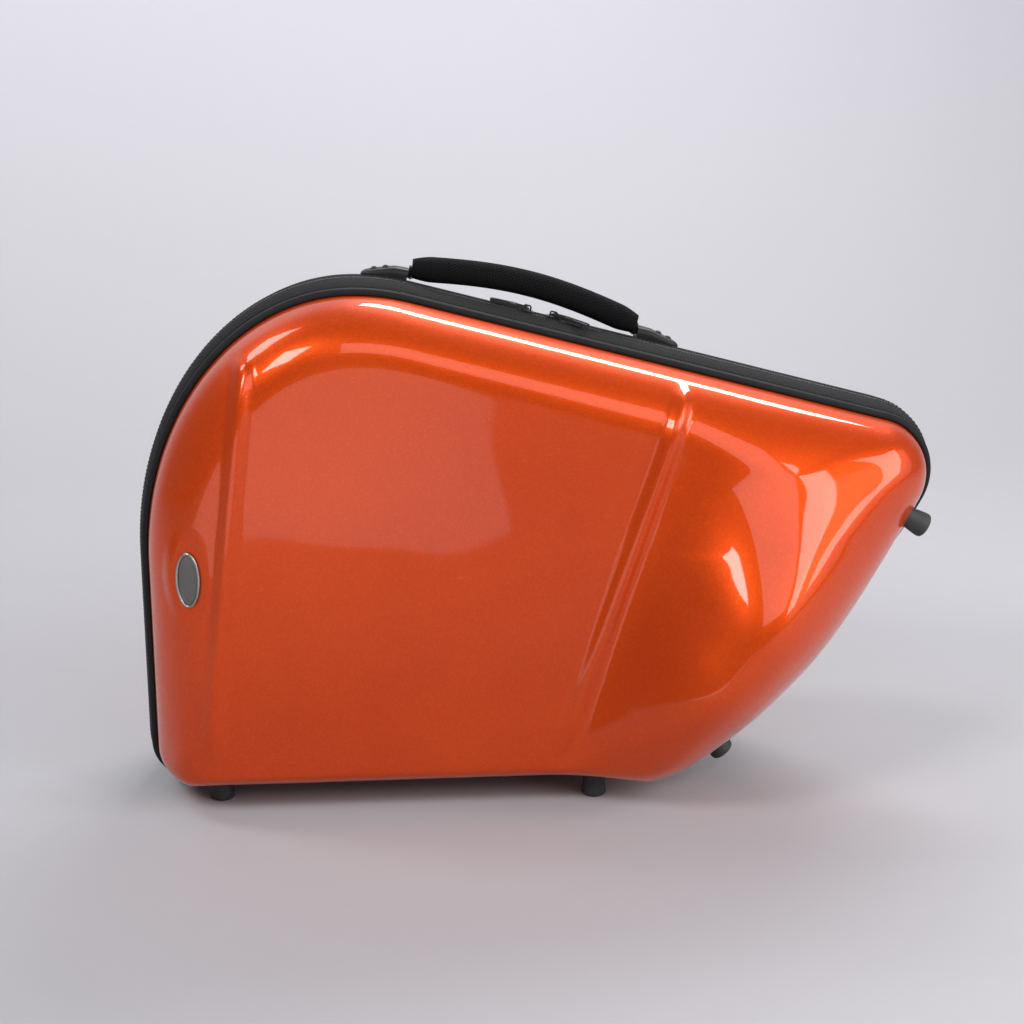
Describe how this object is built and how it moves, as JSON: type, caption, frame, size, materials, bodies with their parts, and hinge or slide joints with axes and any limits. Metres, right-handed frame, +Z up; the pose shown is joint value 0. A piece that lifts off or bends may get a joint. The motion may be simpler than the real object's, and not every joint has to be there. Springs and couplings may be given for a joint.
{
  "type": "instrument case",
  "caption": "Moulded hard case for a french horn: two dished shells on a fabric hinge, closed by a zip, with a padded handle, rubber feet and a lined inside.",
  "frame": {"origin": "centre of the footprint box, on the floor under the feet", "axes": "+X from the round body end to the bell end, +Y from the front shell to the back shell, +Z up"},
  "size_m": [0.6406, 0.322, 0.4307],
  "materials": {
    "shell_paint": "metallic orange paint under clear coat on a moulded fibre shell",
    "rubber": "matt moulded rubber",
    "badge_dark": "dark pewter, left bare",
    "badge_metal": "polished pewter rim",
    "lining": "plush-covered foam",
    "steel": "plain steel",
    "black_metal": "black painted die casting",
    "coil": "nylon coil",
    "black_plastic": "satin black",
    "grip_mesh": "knitted spacer mesh over foam",
    "black_fabric": "woven nylon"
  },
  "bodies": {
    "back_half": {"back_binding": "black_plastic", "back_foot_end": "rubber", "back_foot_heel": "rubber", "back_foot_tip": "rubber", "back_foot_toe": "rubber", "back_gusset": "black_fabric", "back_liner": "lining", "back_screw_end": "steel", "back_screw_heel": "steel", "back_screw_tip": "steel", "back_screw_toe": "steel", "back_shell": "shell_paint", "back_zip_coil": "coil", "back_zip_tape": "black_fabric", "bracket_rivet_left_1": "black_metal", "bracket_rivet_left_2": "black_metal", "bracket_rivet_right_1": "black_metal", "bracket_rivet_right_2": "black_metal", "corner_box": "lining", "handle_bracket_left": "black_plastic", "handle_bracket_right": "black_plastic", "handle_pin_left": "black_metal", "handle_pin_right": "black_metal", "hinge_fabric_back": "black_fabric", "instrument_strap": "black_fabric", "strap_stud_lower": "steel", "strap_stud_upper": "steel", "zip_clip_left": "steel", "zip_clip_right": "steel"},
    "front_half": {"front_binding": "black_plastic", "front_foot_end": "rubber", "front_foot_heel": "rubber", "front_foot_tip": "rubber", "front_foot_toe": "rubber", "front_gusset": "black_fabric", "front_liner": "lining", "front_screw_end": "steel", "front_screw_heel": "steel", "front_screw_tip": "steel", "front_screw_toe": "steel", "front_shell": "shell_paint", "front_zip_coil": "coil", "front_zip_tape": "black_fabric", "hinge_fabric_front": "black_fabric", "badge_plate": "badge_dark", "badge_rim": "badge_metal"},
    "handle": {"handle_core": "black_plastic", "handle_grip": "grip_mesh"},
    "slider_left": {"zip_slider_left": "black_metal"},
    "slider_right": {"zip_slider_right": "black_metal"},
    "pull_left": {"zip_pull_left": "black_metal"},
    "pull_right": {"zip_pull_right": "black_metal"},
    "compartment_lid": {"corner_lid": "lining"}
  },
  "joints": [
    {"name": "shell_hinge", "type": "hinge", "parent": "back_half", "child": "front_half", "pos_m": [0, 0, 0.0062], "axis": [1, 0, 0], "range_deg": [0, 110]},
    {"name": "handle_swing", "type": "hinge", "parent": "back_half", "child": "handle", "pos_m": [-0.01036, 0.0155, 0.3937], "axis": [-0.9664, 0, 0.2571], "range_deg": [0, 58]},
    {"name": "slider_left_run", "type": "slide", "parent": "back_half", "child": "slider_left", "axis": [0.9664, 0, -0.2571], "range_m": [-0.05, 0]},
    {"name": "slider_right_run", "type": "slide", "parent": "back_half", "child": "slider_right", "axis": [0.9664, 0, -0.2571], "range_m": [0, 0.2]},
    {"name": "pull_left_flip", "type": "hinge", "parent": "slider_left", "child": "pull_left", "pos_m": [-0.00787, 0, 0.39273], "axis": [-0.1512, 0.9877, 0.0402], "range_deg": [0, 90]},
    {"name": "pull_right_flip", "type": "hinge", "parent": "slider_right", "child": "pull_right", "pos_m": [0.01313, 0, 0.38715], "axis": [-0.4832, -0.866, 0.1286], "range_deg": [0, 90]},
    {"name": "compartment_lid_hinge", "type": "hinge", "parent": "back_half", "child": "compartment_lid", "pos_m": [-0.208, 0.02602, 0.0945], "axis": [-0.7071, 0, 0.7071], "range_deg": [0, 80]}
  ]
}
